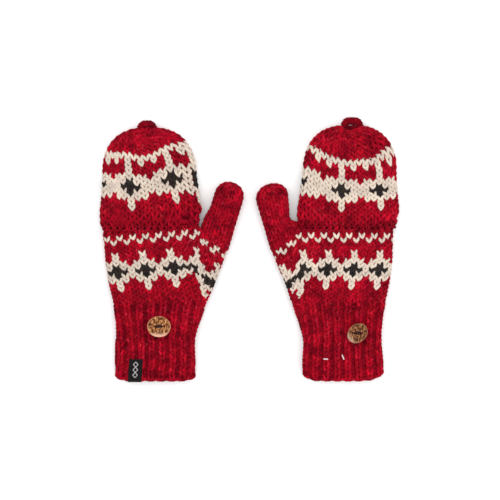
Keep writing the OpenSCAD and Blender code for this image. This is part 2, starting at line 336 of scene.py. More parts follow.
def lozenges(m, across, down):
    """A plain woven column of small open lozenges on the front of the tape, as a mask."""
    half_wide, half_tall, first, last, line = 2.3, 2.6, 2.6, 18.2, 0.30
    wide = m.calc("DIVIDE", m.calc("ABSOLUTE", across), half_wide)
    turn = m.calc("PINGPONG", m.calc("SUBTRACT", down, first), half_tall)
    tall = m.calc("DIVIDE", turn, half_tall)
    edge = m.calc("ABSOLUTE", m.calc("SUBTRACT", wide, tall))
    mask = m.times(m.calc("LESS_THAN", edge, line / 1.6), m.calc("LESS_THAN", wide, 1.15))
    mask = m.times(mask, m.calc("GREATER_THAN", down, first))
    return m.times(mask, m.calc("LESS_THAN", down, last))


def tape_material(name, colour, rough, motif=None):
    """Close woven tape: fine warp and weft ribs with a slightly uneven tone."""
    m = Shading(name)
    uv = m.uv("Weave")
    across, down = m.split(uv)
    weave = m.times(m.wave("SINE", across, pitch=0.55), m.wave("SINE", down, pitch=0.42))
    tone = m.ramp(m.noise(uv, 1.6, 4.0, 0.7), (0.35, tuple(0.75 * c for c in colour)),
                  (0.62, colour), (0.80, tuple(min(1, 1.8 * c + 0.01) for c in colour)))
    colour = m.tinted(0.8, tone, m.raised(weave), (0.0, grey(0.7)), (1.0, grey(1.15)))
    if motif:
        colour = m.mix("MIX", lozenges(m, across, down), colour, motif)
    return m.finish(colour, weave, strength=0.5, distance=0.00015, rough=rough, specular=0.12)


WOOL = wool_material()
COCONUT = coconut_material()
THREAD = thread_material()
BLACK_TAPE = tape_material("black_tape_weave", (0.0075, 0.0065, 0.0065), 0.85, (0.42, 0.40, 0.40))
WHITE_TAPE = tape_material("white_tape_weave", (0.80, 0.78, 0.74), 0.7)

# ---------------- yarn and stitches


class Gauge:
    """How one yarn knits up: radius, how far legs and heads stand from the middle, leg swing
    in stitch widths, and reach of a head above its row in rows."""

    def __init__(self, radius, depth, swing=0.29, reach=0.82):
        self.radius, self.depth, self.swing, self.reach = radius, depth, swing, reach
        self.half = radius + depth


CHUNKY = Gauge(1.52, 0.95)
FINE = Gauge(1.25, 0.70)
KNUCKLE = Gauge(1.4, 0.75)
THUMB = Gauge(1.48, 0.95, swing=0.23, reach=0.95)
RIB = Gauge(1.42, 0.80, swing=0.22, reach=0.92)
STEPS = 12               # points along one stitch
SIDES = 8                # points round the yarn
WOBBLE = 0.03            # how far one stitch's size strays from the next
ROW_SPREAD = 0.09        # how far one row's tone strays from the next
RIB_WARP = 0.15          # how far a knit column crowds the purl columns beside it
RIB_RISE, RIB_SINK = 0.5, -2.1   # how far knit columns stand out and purl columns sink
RINGS_PER_ROW = 4        # rings of a Surface to one row of stitches
QUAD = ((0, 0), (0, 1), (1, 1), (1, 0))


class Mesh:
    """Gathers tubes and sheets of one piece, with strand UVs, bake UVs and a dye colour."""

    def __init__(self):
        self.points, self.faces, self.strand, self.dye, self.bake = [], [], [], [], []
        self.count = 0

    def grid(self, points, strand, dye, wrap_rows=False, wrap_cols=True):
        """points[a, b]: a along, b across. strand[a, b] = (along, around)."""
        a, b = points.shape[:2]
        index = np.arange(a * b).reshape(a, b) + self.count
        r, c = np.meshgrid(np.arange(a if wrap_rows else a - 1),
                           np.arange(b if wrap_cols else b - 1), indexing="ij")
        step = strand[1, 0, 0] - strand[0, 0, 0]
        quads, along_around, share = [], [], []
        for down, over in QUAD:
            rows, cols = r + down, c + over
            quads.append(index[rows % a, cols % b])
            value = strand[rows % a, cols % b].copy()
            value[..., 0] += (rows >= a) * a * step
            value[..., 1] += cols >= b
            along_around.append(value)
            share.append(np.stack([rows / a, cols / b], -1))
        self.points.append(points.reshape(-1, 3))
        self.dye.append(np.broadcast_to(dye, (a, b, 4)).reshape(-1, 4))
        self.faces.append(np.stack(quads, -1).reshape(-1, 4))
        self.strand.append(np.stack(along_around, 2).reshape(-1, 2))
        self.bake.append(np.stack(share, 2).reshape(-1, 2))
        self.count += a * b

    def build(self, name, side, material):
        """Makes the object. The left mitten is mirrored, so its faces are wound the other way."""
        wound = slice(None, None, int(SIGN[side]))
        points = to_world(np.concatenate(self.points), side)
        faces = np.concatenate(self.faces)[:, wound]
        mesh = bpy.data.meshes.new(name)
        mesh.vertices.add(len(points))
        mesh.vertices.foreach_set("co", points.ravel())
        mesh.loops.add(faces.size)
        mesh.loops.foreach_set("vertex_index", faces.ravel())
        mesh.polygons.add(len(faces))
        mesh.polygons.foreach_set("loop_start", np.arange(len(faces)) * 4)
        mesh.polygons.foreach_set("use_smooth", np.ones(len(faces), bool))
        mesh.update(calc_edges=True)
        strip = 1 / len(self.bake)   # each tube or sheet bakes into its own strip
        bake = [np.stack([share[:, 0], (k + 0.04 + 0.92 * share[:, 1]) * strip], -1)
                for k, share in enumerate(self.bake)]
        for layer, values in (("Strand", self.strand), ("OFBake", bake)):
            uv = np.concatenate(values).reshape(-1, 4, 2)[:, wound]
            mesh.uv_layers.new(name=layer).data.foreach_set("uv", uv.ravel())
        paint(mesh, "Dye", np.concatenate(self.dye))
        mesh.validate()
        made = add_object(name, mesh)
        made.data.materials.append(material)
        return made


def knitted(mesh, side, name, body, *replaced):
    """Builds one piece of red wool."""
    attach(mesh.build(f"{side}_{name}", side, WOOL), side, body, "red_wool", *replaced)


def strand_frame(path, normals, closed):
    """Directions across a strand and out of the fabric, at every point of its path."""
    if closed:
        tangent = np.roll(path, -1, 0) - np.roll(path, 1, 0)
    else:
        tangent = np.gradient(path, axis=0)
    tangent = unit(tangent)
    across = unit(np.cross(tangent, normals))
    return across, np.cross(across, tangent)


def tube(mesh, path, normals, radius, dye, closed, start=0.0, sides=SIDES):
    """Sweeps a round strand along path[n, 3]. normals point out of the fabric."""
    across, up = strand_frame(path, normals, closed)
    angle = 2 * np.pi * np.arange(sides) / sides
    radius = np.broadcast_to(radius, len(path))[:, None, None]
    ring = path[:, None] + radius * (np.cos(angle)[:, None] * up[:, None]
                                     + np.sin(angle)[:, None] * across[:, None])
    step = np.linalg.norm(np.roll(path, -1, 0) - path, axis=1).mean()
    along = start + step * np.arange(len(path))
    strand = np.stack(np.broadcast_arrays(along[:, None], (np.arange(sides) / sides)[None]), -1)
    mesh.grid(ring, strand, dye[:, None] if np.ndim(dye) == 2 else dye, wrap_rows=closed)


def resample(curve, samples):
    """Even spacing by length round a closed curve that starts at its anchor."""
    ring = np.vstack([curve, curve[:1]])
    length = np.r_[0, np.cumsum(np.linalg.norm(np.diff(ring, axis=0), axis=1))]
    at = np.linspace(0, length[-1], samples, endpoint=False)
    return np.stack([np.interp(at, length, ring[:, k]) for k in range(3)], -1)


class Surface:
    """A tube of fabric: ring(r) gives the closed curve of row r, started at the anchor."""

    def __init__(self, ring, first, last, samples=360):
        self.first, self.samples = first, samples
        count = int(round((last - first) * RINGS_PER_ROW)) + 1
        self.grid = np.array([resample(ring(first + k / RINGS_PER_ROW), samples)
                              for k in range(count)])
        along = np.roll(self.grid, -1, 1) - np.roll(self.grid, 1, 1)
        self.normal = unit(np.cross(along, np.gradient(self.grid, axis=0)))
        middle = self.grid.mean(axis=1, keepdims=True)
        if np.sum((self.grid - middle) * self.normal) < 0:
            self.normal = -self.normal

    def length(self, r):
        """Length round row r."""
        k = int(np.clip(round((r - self.first) * RINGS_PER_ROW), 0, len(self.grid) - 1))
        ring = self.grid[k]
        return np.linalg.norm(np.roll(ring, -1, 0) - ring, axis=1).sum()

    def at(self, turn, r):
        """Points and outward normals at fractions `turn` of the way round and row numbers r."""
        u = (turn % 1.0) * self.samples
        v = np.clip((r - self.first) * RINGS_PER_ROW, 0, len(self.grid) - 1.001)
        u0, v0 = np.floor(u).astype(int), np.floor(v).astype(int)
        fu, fv = (u - u0)[..., None], (v - v0)[..., None]
        u0, u1 = u0 % self.samples, (u0 + 1) % self.samples
        out = []
        for table in (self.grid, self.normal):
            low = table[v0, u0] * (1 - fu) + table[v0, u1] * fu
            high = table[v0 + 1, u0] * (1 - fu) + table[v0 + 1, u1] * fu
            out.append(low * (1 - fv) + high * fv)
        return out[0], unit(out[1])


def dyes(codes):
    """One dye for each colour code, with the uneven shade of a heathered yarn."""
    codes = np.asarray(codes)
    shade = np.exp(HEATHER_SPREAD[codes] * rng.standard_normal(len(codes)))
    out = YARN_DYE[codes].copy()
    out[:, :3] *= shade[:, None]
    return np.clip(out, 0.002, 1)


def plain(i):
    return RED


def knit(mesh, surface, row, stitches, chart=plain, gauge=CHUNKY, purl=None, warp=0.0, sag=None,
         squeeze=None, shade=1.0):
    """One row of knitting, one closed strand. chart(i) is the colour of column i, which counts
    both ways from the anchor, and purl(i) says whether it is purled; purled columns are darkened
    and the others lightened a little, as painted shade and light. sag and squeeze move it down
    and round, in rows and columns. shade, a number or a function of the columns, darkens the
    row as painted shade."""
    i = np.repeat(np.arange(stitches), STEPS)
    t = np.tile(np.arange(STEPS) / STEPS, stitches)
    signed = np.where(i > stitches / 2, i - stitches, i)
    jitter = WOBBLE * rng.standard_normal((stitches, 4))
    swing = gauge.swing * (1 + jitter[i, 0])
    reach = gauge.reach * (1 + jitter[i, 1])
    column = i + t + swing * np.sin(4 * np.pi * t) + 0.4 * jitter[i, 2]
    column = column + warp * np.sin(np.pi * (column - 0.5))
    face = np.array([-1.0 if purl and purl(s) else 1.0 for s in range(stitches)])[i]
    r = row - reach * np.cos(2 * np.pi * t) + 0.6 * jitter[i, 3]
    if sag is not None:
        r = r - sag(column)
    depth = -gauge.depth * np.cos(4 * np.pi * t) * face
    if purl is not None:
        front = 0.5 + 0.5 * np.cos(np.pi * (column - 0.5)) if warp else (face + 1) / 2
        depth = depth + RIB_SINK + (RIB_RISE - RIB_SINK) * front
    if squeeze is not None:
        column = column + squeeze(np.where(column > stitches / 2, column - stitches, column))
    point, normal = surface.at((column - 0.5) / stitches, r)
    tint = dyes([chart(int(s)) for s in signed[::STEPS]])
    # painted shade and light: purl columns, sunk between the ribs, are darkened and knit columns
    # lightened
    if purl is not None:
        tint[:, :3] *= np.where(face[::STEPS] > 0, 1.06, 0.76)[:, None]
    if callable(shade):
        shade = shade(signed[::STEPS])[:, None]
    tint[:, :3] *= shade * (1 + ROW_SPREAD * rng.uniform(-1, 1))
    swell = 1 - 0.06 * np.cos(4 * np.pi * t) + 0.5 * jitter[i, 1]
    tube(mesh, point + normal * depth[:, None], normal, gauge.radius * swell, tint[i], True,
         start=37.0 * row)


# painted shade: the inner sheet seen through the gaps between stitches is darkened
BACKING_PAINTED_SHADE = (0.78, 0.78, 0.78, 1)


def backing(mesh, surface, first, last, depth=0.0):
    """The strands carried behind the stitches, drawn as one inner sheet darkened with painted
    shade.
    """
    turn, row = np.meshgrid(np.arange(96) / 96, np.arange(first, last + 1e-6, 0.5), indexing="ij")
    point, normal = surface.at(turn, row)
    strand = np.stack([turn * 60, row], -1)
    mesh.grid(point + normal * depth, strand, YARN_DYE[RED] * BACKING_PAINTED_SHADE, wrap_rows=True,
              wrap_cols=False)


def rope(mesh, path, normals, closed, radius, spread, pitch, plies=2, taper=0.0, shade=1.0):
    """Strands of red yarn twisted round each other along a path, thinner at its open ends."""
    along = np.r_[0, np.cumsum(np.linalg.norm(np.diff(path, axis=0), axis=1))]
    total = along[-1] + (np.linalg.norm(path[0] - path[-1]) if closed else 0)
    turns = max(1, round(total / pitch))
    across, up = strand_frame(path, normals, closed)
    thin = 1 - taper * np.clip(1 - np.minimum(along, total - along) / (3 * radius), 0, 1)
    patches = dyes(np.full(max(2, int(total / 7)), RED)) * [shade, shade, shade, 1]
    tint = patches[np.minimum((along / total * len(patches)).astype(int), len(patches) - 1)]
    for ply in range(plies):
        phase = 2 * np.pi * (ply / plies + turns * along / total)
        out = np.cos(phase)[:, None] * up + np.sin(phase)[:, None] * across
        tube(mesh, path + spread * thin[:, None] * out, out, radius * thin, tint, closed,
             start=61.0 * ply)


# Ropes: radius of a strand, how far it lies from the rope's middle, and length of one twist
CAP_ROPE = (1.35, 0.95, 6.4)
HEM_ROPE = (1.2, 0.85, 5.3)
FINGER_ROPE = (1.0, 0.7, 4.6)
LOOP_CORD = 3.9          # radius of the loop's thick cord
LOOP_ROPE = (LOOP_CORD * 0.56, LOOP_CORD * 0.46, 9.5)


# ---------------- charts

# Each line is half of a mirrored repeat, from its centre out
LOWER_BAND = ("WRR", "WRR", "WWR", "KWW", "KKW", "KWW", "WWR", "WRR", "WRR")
CAP_BAND = ("WWWW", "WRWR", "WRRR", "WRRR", "WWWR", "KWWW", "KKWW", "KWWW", "WWWR", "WRRR", "WRRR")
LETTER = {"W": CREAM, "R": RED, "K": BLACK}


def zigzag(i, line):
    """Single cream stitches in every other column, one column over on the next line."""
    return CREAM if (i + line) % 2 == 0 else RED


def repeat(rows, line, i, width):
    """Colour of column i in a mirrored repeat of `width` columns centred on column 0."""
    away = i % width
    return LETTER[rows[line][min(away, width - away)]]


# ---------------- shapes of the fabric

SQUARE = 3.2             # squareness of the CAD's tubes
RING_POINTS = 400


def superellipse(count=RING_POINTS):
    """A rounded rectangle from -1 to 1 both ways."""
    angle = 2 * np.pi * np.arange(count) / count
    return (np.sign(np.cos(angle)) * np.abs(np.cos(angle)) ** (2 / SQUARE),
            np.sign(np.sin(angle)) * np.abs(np.sin(angle)) ** (2 / SQUARE))


def section(x0, x1, z0, z1, y, inset):
    """The closed curve that lies `inset` inside a tube's sides, at y."""
    u, v = superellipse()
    return np.stack([(x0 + x1) / 2 + ((x1 - x0) / 2 - inset) * u, np.broadcast_to(y, len(u)),
                     (z0 + z1) / 2 + ((z1 - z0) / 2 - inset) * v], -1)


def from_anchor(curve, x):
    """Starts a closed curve on the back of the hand at x, and sends it outward first."""
    middle = curve[:, 2].mean()
    away = np.abs(curve[:, 0] - x) + 1e3 * (curve[:, 2] < middle)
    curve = np.roll(curve, -int(np.argmin(away)), 0)
    return curve if curve[3, 0] > curve[0, 0] else np.roll(curve[::-1], 1, 0)


def tube_ring(rows, inset, y_of, anchor):
    """ring(r) for a hand tube whose row r follows y_of(r, x) over the outline `rows`."""
    def ring(r):
        y = np.full(RING_POINTS, y_of(r, 0.0))
        for _ in range(6):
            out, inn, low, high = smooth_rows(rows, y)
            curve = section(inn, out, low, high, y, inset)
            y = y_of(r, curve[:, 0])
        curve[:, 1] = y
        back = np.clip(superellipse()[1] * 3, 0, 1)
        curve[:, 2] -= CREASE * ease((y - HINGE_Y + 5) / 4) * back
        return from_anchor(curve, anchor[0] + anchor[1] * y_of(r, anchor[0]))
    return ring


def meridian_ring(sheet, starts, rows_up, anchor_of, shift=None):
    """ring(r) for a closed end: rows divide every meridian of sheet[along, round] evenly."""
    step = np.linalg.norm(np.diff(sheet, axis=0), axis=2)
    length = np.vstack([np.zeros(sheet.shape[1]), np.cumsum(step, 0)])

    def ring(r):
        part = np.clip((r + 0.5) / rows_up, -0.08, 0.995)
        want = starts + part * (length[-1] - starts)
        if shift is not None:
            want = want + shift(part)
        return anchor_of(np.array([[np.interp(want[m], length[:, m], sheet[:, m, k])
                                    for k in range(3)] for m in range(sheet.shape[1])]))
    return ring


# Caps: rows from hinge to tip, stitches round, first row of the band from the hinge,
# and the centre of the repeat, for each side
CAP_ROWS = pair(21, 23)
CAP_STITCHES = pair(28, 32)
CAP_BAND_ROW = 3
CAP_ANCHOR = pair(20.8, -6.5)    # across, where the black row is
CAP_LEAN = pair(0.09, 0.0)       # how the columns lean outward as they rise
CAP_BLACK_Y = 62.0
# Past this column, low in the band and in its top lines, the repeat jogs by so many columns
CAP_JOG = pair((-9, -9, -3), (-5, -6, 1))
CAP_DOME = 50.0          # length of the blunt dome at the end of the cap
CAP_PITCH = 6.3          # width of a stitch where the cap narrows
CAP_MOUTH = 215.0        # length round the cap's mouth
CAP_LEAD = 8.0           # the cap's sheet starts this far before its mouth


def cap_squeeze(side):
    """How far columns are drawn together or spread at the cap's sides, in columns. Both ends of
    a row shift alike, so that it closes."""
    if side == "right":
        return lambda c: -0.5 * (ease((-4 - c) / 4) - ease((-10 - c) / 5))
    return lambda c: (-0.5 * ease((-6.5 - c) / 2) + 1.6 * ease((-9.5 - c) / 4.5)
                      - 1.2 * ease((c - 1) / 4) + 3.2 * ease((c - 7) / 7)
                      - 0.9 * ease((c - 10.5) / 3.5))


def cap_shift(side, across, part):
    """The hand knitting is uneven: how far each stitch strays towards the tip, millimetres."""
    grow = ease(part / 0.13) * ease((1 - part) / 0.3)
    if side == "left":
        lift = 8.0 * np.exp(-((across + 20) / 24) ** 2)
        drop = 8.0 * ease((across - 22) / 26) * ease((part - 0.25) / 0.3)
    else:
        lift = 1.0 + 1.8 * ease((part - 0.45) / 0.25)
        lift = lift + 2.5 * ease((-across - 20) / 22) * ease((0.75 - part) / 0.25)
        drop = 6.5 * ease((across - 8) / 30) * ease((part - 0.15) / 0.3)
        drop = drop - 7.0 * ease((across - 22) / 16) * ease((part - 0.48) / 0.15)
    return grow * (lift - drop)


def cap_ring(side):
    low, high = box_mm(side + "_cap_back")
    rows = outline(side + "_cap_back")
    base, tip, mid = low[1], high[1], low[2]
    dome_y = tip - CAP_DOME
    ys = np.r_[np.linspace(base - CAP_LEAD, dome_y, 40, endpoint=False),
               dome_y + CAP_DOME * np.sin(np.linspace(0, np.pi / 2, 120))]
    inset = CHUNKY.half
    f = np.clip((ys - dome_y) / CAP_DOME, 0, 1)
    full = np.interp(np.minimum(ys, dome_y), rows[:, 0], (rows[:, 1] - rows[:, 2]) / 2)
    half_w = (full - inset) * (1 - f ** 2.5) ** 0.4
    half_h = (high[2] - mid - inset) * (1 - f ** 4) ** 0.4
    half_h = half_h - CREASE * ease((base + 3.5 - ys) / 4)
    x = np.interp(ys, rows[:, 0], (rows[:, 1] + rows[:, 2]) / 2)
    u, v = superellipse()
    sheet = np.stack([x[:, None] + half_w[:, None] * u,
                      np.repeat(ys[:, None], len(u), 1) - inset * f[:, None],
                      mid + half_h[:, None] * v], -1)
    across = sheet[20, :, 0]

    def anchor(curve):
        back = curve[curve[:, 2] > mid]
        at = CAP_ANCHOR[side]
        near = back[np.argmin(np.abs(back[:, 0] - at))]
        return from_anchor(curve, at + CAP_LEAN[side] * (near[1] - CAP_BLACK_Y))
    return meridian_ring(sheet, CAP_LEAD, CAP_ROWS[side], anchor,
                         lambda part: cap_shift(side, across, part))


def make_cap(side):
    surface = Surface(cap_ring(side), -1.5, CAP_ROWS[side] + 0.5)
    mesh = Mesh()
    backing(mesh, surface, -0.45, CAP_ROWS[side] - 0.6)
    for row in range(CAP_ROWS[side]):
        line = CAP_BAND_ROW + len(CAP_BAND) - 1 - row
        narrowing = line < 0
        fit = int(round(surface.length(row) / CAP_PITCH))
        stitches = max(6, min(CAP_STITCHES[side], fit)) if narrowing else CAP_STITCHES[side]

        def chart(i, line=line):
            low, high, jog = CAP_JOG[side]
            if i <= (high if line < 3 else low):
                i += jog
            return repeat(CAP_BAND, line, i, 6) if 0 <= line < len(CAP_BAND) else RED

        def palm_rib(i):
            return 9 <= i <= 21 and i % 2 == 1
        # painted shade: the cap's row at the hinge is darkened to 0.8, for the shadow in the crease
        knit(mesh, surface, row, stitches, chart, purl=palm_rib if row < 2 else None,
             squeeze=None if narrowing else cap_squeeze(side), shade=0.8 if row == 0 else 1.0)
    knitted(mesh, side, "cap_knit", "cap", "cap_back", "cap_palm")

    # The cast-on edge of the palm layer: a two-strand rope from side to side
    turn = np.linspace(0.275, 0.725, 150) - (CAP_ANCHOR[side] - 0.5) / CAP_MOUTH
    edge = Mesh()
    rope(edge, *surface.at(turn, np.full(len(turn), -0.75)), False, *CAP_ROPE, taper=0.5)
    knitted(edge, side, "cap_hem_edge", "cap", "cap_hem")


# Hand: row 0 is the lowest row above the ribbing, and rows count up to the hinge
ROW = 4.2                # height of one row
HAND_ROWS = 17
HAND_TOP = HINGE_Y - 4.6 # middle of the hand's top row
HAND_PITCH = pair((6.9, 6.35), (6.3, 6.25))   # width of a stitch, low and high
HAND_ANCHOR = pair(9.3, -18.0)   # across, on the line y = 0
HAND_LEAN = pair(0.19, 0.11)     # how the columns lean outward as they rise
CREASE = 1.6             # depth of the dip along the sewn line
HAND_TILT = pair(0.082, 0.005)   # rise of the rows towards the thumb
# Where the rows step down and slope into the thumb gusset: low on the hand and at its top
GUSSET_X = pair((-44.0, -47.5), (-41.5, -51.0))
GUSSET_SLOPE = pair(0.54, 0.72)
GUSSET_STEP = pair(7.0, 3.5)
GUSSET_BEND = 2.0
GUSSET_COLUMN = pair(-4.5, -2.5)   # past here the lower columns fan outward
GUSSET_FAN = pair(0.9, 1.3)        # by this many columns
HAND_LIMIT = HINGE_Y - 1.6   # no row comes nearer to the hinge
ZIGZAG_ROWS = (1, 2)     # rows down from the hand's top row
LOWER_BAND_ROW = 5
BLACK_LINE = 4           # the band's widest black row
CREAM_COLUMN = pair(-8, None)   # a star on the gusset's edge with no black middle
JOINED_COLUMN = pair(-6, -5)   # towards the gusset from here that row has no break


def hand_row_y(side, y, x):
    """Height at x of the row that crosses the hand's centre line at y."""
    start = np.interp(y, (-40, 5), GUSSET_X[side])
    past = GUSSET_BEND * np.log1p(np.exp(np.clip((start - x) / GUSSET_BEND, -30, 30)))
    grown = ease((y + 100) / 60)
    drop = (GUSSET_SLOPE[side] * past + GUSSET_STEP[side] * ease((start - x + 1) / 6)) * grown
    y = y - HAND_TILT[side] * np.clip(x, start, 50) * grown - drop
    capped = HAND_LIMIT - np.exp(np.clip(HAND_LIMIT - 1 - y, -30, 0))
    return np.where(y > HAND_LIMIT - 1, capped, y)


def hand_outline(side):
    return np.vstack([outline(side + "_cuff")[:-1], outline(side + "_hand")])


def make_hand(side):
    bottom = HAND_TOP - ROW * (HAND_ROWS - 1)
    ring = tube_ring(hand_outline(side), CHUNKY.half,
                     lambda r, x: hand_row_y(side, bottom + ROW * r, x),
                     (HAND_ANCHOR[side], HAND_LEAN[side]))
    surface = Surface(ring, -1.5, HAND_ROWS + 0.5)
    mesh = Mesh()
    backing(mesh, surface, -0.6, HAND_ROWS - 0.4)

    # painted shade: the hand's top row, in the crease under the hinge, is darkened to 0.8, but not
    # in the gusset
    def painted_crease_shade(i):
        return np.where(i < GUSSET_COLUMN[side] - 2, 1.0, 0.8)
    for row in range(HAND_ROWS):
        pitch = np.interp(row / HAND_ROWS, [0.5, 0.95], HAND_PITCH[side])
        stitches = int(round(surface.length(row) / pitch))
        down = HAND_ROWS - 1 - row
        fan = GUSSET_FAN[side] * ease((down - LOWER_BAND_ROW - 2) / 6)

        def chart(i, down=down):
            line = down - LOWER_BAND_ROW
            if down in ZIGZAG_ROWS:
                return zigzag(i, down)
            if i == CREAM_COLUMN[side] and abs(line - BLACK_LINE) < 2:
                return CREAM
            if line == BLACK_LINE and i <= JOINED_COLUMN[side]:
                return BLACK
            if line == BLACK_LINE + 1 and i < JOINED_COLUMN[side]:
                return BLACK
            return repeat(LOWER_BAND, line, i, 4) if 0 <= line < len(LOWER_BAND) else RED

        def squeeze(c, fan=fan):
            return -fan * (ease((GUSSET_COLUMN[side] - c) / 3) - ease((-10 - c) / 5))
        knit(mesh, surface, row, stitches, chart, shade=painted_crease_shade if down == 0 else 1.0,
             squeeze=squeeze)
    knitted(mesh, side, "hand_knit", "mitten", "hand")


HEM_LIFT = 1.1           # the worn hem has crept this far up
CUFF_ROWS = 19
CUFF_STITCHES = 32
SCALLOP = 0.11           # how far a knit column hangs below a purl one at the hem, in rows
# How far the corners of the hem turn up on the thumb side and on the outer side
HEM_ROUND = pair((5.0, 5.5), (6.5, 8.5))
HEM_CORNER = pair((8, 8), (7, 5))   # how tight each corner is


def make_cuff(side):
    low, _ = box_mm(side + "_cuff")
    first = low[1] + RIB.radius + 0.8 * ROW + HEM_LIFT
    step = (HAND_TOP - ROW * HAND_ROWS - first) / (CUFF_ROWS - 1)
    edges = outline(side + "_cuff")
    middle = (edges[0, 1] + edges[0, 2]) / 2
    half = (edges[0, 1] - edges[0, 2]) / 2

    def row_y(r, x):
        corner = np.clip(np.abs(x - middle) / half, 0, 1) ** np.where(
            x < middle, *HEM_CORNER[side])
        lift = np.where(x < middle, *HEM_ROUND[side])
        return hand_row_y(side, first + step * r, x) + lift * corner * ease(1 - r / 5)

    def scallop(column, strength=1.0):
        return strength * SCALLOP * np.sin(np.pi * column)
    surface = Surface(tube_ring(hand_outline(side), RIB.half - 0.4, row_y, (0.0, 0.0)),
                      -1.5, CUFF_ROWS + 0.5)
    mesh = Mesh()
    backing(mesh, surface, -0.7, CUFF_ROWS - 0.4, depth=-0.75)
    for row in range(CUFF_ROWS):
        fade = max(0.0, 1 - row / 2.0)
        knit(mesh, surface, row, CUFF_STITCHES, plain, RIB, lambda i: i % 2 == 1, RIB_WARP,
             lambda c, fade=fade: scallop(c, fade))
    knitted(mesh, side, "cuff_rib", "mitten", "cuff")

    column = np.arange(0, CUFF_STITCHES, 0.125)
    point, normal = surface.at((column - 0.5) / CUFF_STITCHES, -0.72 - scallop(column))
    edge = Mesh()
    rope(edge, point + normal * -0.2, normal, True, *HEM_ROPE)
    knitted(edge, side, "cast_on_edge", "mitten")


# Knuckles: rows that go on under the cap, then four half-finger tubes
KNUCKLE_ROWS = 4
KNUCKLE_STITCHES = 30
FINGERS = ("index", "middle", "ring", "little")
FINGER_STITCHES = 8
FINGER_ROW = 3.9         # height of one row


def make_knuckles(side):
    rows = outline(side + "_knuckles")

    def ring(r):
        y = HAND_TOP + ROW + (ROW - 0.2) * r
        out, inn, z0, z1 = outline_at(rows, y)
        return from_anchor(section(inn, out, z0, z1, y, FINE.half + 0.1), HAND_ANCHOR[side])
    surface = Surface(ring, -1.0, KNUCKLE_ROWS + 0.5)
    mesh = Mesh()
    backing(mesh, surface, -0.6, KNUCKLE_ROWS - 0.5)
    for row in range(KNUCKLE_ROWS):
        knit(mesh, surface, row, KNUCKLE_STITCHES, gauge=KNUCKLE)
    knitted(mesh, side, "knuckles_knit", "mitten", "knuckles")


def make_finger_tube(side, finger):
    low, high = box_mm(f"{side}_{finger}_tube")
    length = high[1] - low[1]
    rows_up = int(length / FINGER_ROW)
    pitch = (length - 1.0) / rows_up

    def ring(r):
        curve = section(low[0], high[0], low[2], high[2], low[1] + pitch * (r + 0.4), FINE.half)
        return from_anchor(curve, (low[0] + high[0]) / 2)
    surface = Surface(ring, -1.0, rows_up + 0.5, samples=120)
    mesh = Mesh()
    backing(mesh, surface, -0.5, rows_up - 0.4)
    for row in range(rows_up):
        knit(mesh, surface, row, FINGER_STITCHES, gauge=FINE)
    point, normal = surface.at(np.arange(72) / 72, np.full(72, rows_up - 0.35))
    rope(mesh, point, normal, True, *FINGER_ROPE)
    knitted(mesh, side, finger + "_tube_knit", "mitten", finger + "_tube")


# Thumb: leans out of the gusset and ends in a round tip
THUMB_LEAN = math.radians(17)
THUMB_ROOT = (-67.0, 20.0)
THUMB_TIP = 15.0         # radius of its tip
THUMB_HEIGHT = 9.0       # height of its middle, and half its thickness
THUMB_ROUND = 2.2        # shape of its tip: 2 is a half circle
THUMB_SHORT = pair(0.0, 2.2)   # how far its tip stops short of its box
THUMB_ROWS = 13
THUMB_STITCHES = 11
THUMB_NARROWING = (9, 7, 5)   # stitches in its last rows
# How far the thumb swells towards the cap, at heights along it: a web at the root, then
# the right one stands straighter towards its tip
SWELL_AT = (1.5, 4.5, 10.0, 18.0, 35.0)
THUMB_SWELL = pair((1.5, 1.5, 1.2, 0.0, 0.0), (2.2, -0.8, -1.1, 0.1, 1.9))
THUMB_FOOT = 20.0        # its sheet starts this far below the crotch
THUMB_DROP = 10.4        # how far below the crotch the thumb's own rows begin
THUMB_SHEAR = 0.24       # its first rows lie along the gusset's, steeper than its later ones


def make_thumb(side):
    _, high = box_mm(side + "_thumb")
    lean = np.array([-math.sin(THUMB_LEAN), math.cos(THUMB_LEAN)])
    length = (high[1] - THUMB_SHORT[side] - THUMB_ROOT[1] - THUMB_TIP) / lean[1] + THUMB_TIP
    s = np.r_[np.linspace(-THUMB_FOOT, length - THUMB_TIP, 40, endpoint=False),
              length - THUMB_TIP + THUMB_TIP * np.sin(np.linspace(0, np.pi / 2, 60))]
    f = np.clip((s - length + THUMB_TIP) / THUMB_TIP, 0, 1)
    rounded = (1 - f ** THUMB_ROUND) ** (1 / THUMB_ROUND)
    inset = CHUNKY.half
    half_w = (THUMB_TIP + 0.3 * ease((6 - s) / 12) - inset) * rounded
    # Fuller where it leaves the hand, and sunk into the hand below that
    raised = 1.1 * ease((14 - s) / 16) - 1.2 * ease((1 - s) / 11)
    half_h = (THUMB_HEIGHT + raised - inset) * rounded
    u, v = superellipse(240)
    across = half_w[:, None] * u
    across = across + np.interp(s, SWELL_AT, THUMB_SWELL[side])[:, None] * (1 + across / half_w[0])
    reach = (s - inset * f)[:, None]
    sheet = np.stack([THUMB_ROOT[0] + reach * lean[0] + across * lean[1],
                      THUMB_ROOT[1] + reach * lean[1] - across * lean[0],
                      (THUMB_HEIGHT + raised)[:, None] + half_h[:, None] * v], -1)
    ring = meridian_ring(sheet, THUMB_FOOT - THUMB_DROP + THUMB_SHEAR * across[0], THUMB_ROWS,
                         lambda curve: from_anchor(curve, curve[:, 0].mean()))
    surface = Surface(ring, -1.2, THUMB_ROWS + 0.5, samples=200)
    mesh = Mesh()
    backing(mesh, surface, -1.0, THUMB_ROWS - 0.6)
    full = THUMB_ROWS - len(THUMB_NARROWING)
    for row in range(-1, THUMB_ROWS):
        stitches = THUMB_STITCHES if row < full else THUMB_NARROWING[row - full]
        knit(mesh, surface, row, stitches, gauge=THUMB)
    knitted(mesh, side, "thumb_knit", "mitten", "thumb")


SEAM_LINE = -0.8         # the seam lies this far past the hinge's own line
SEAM_TURNS = 15
SEAM_PAINTED_SHADE = (0.12, 0.10, 0.14, 1)   # painted shade: it is darkened as it lies deep in the crease
SEAM_POINTS = 700


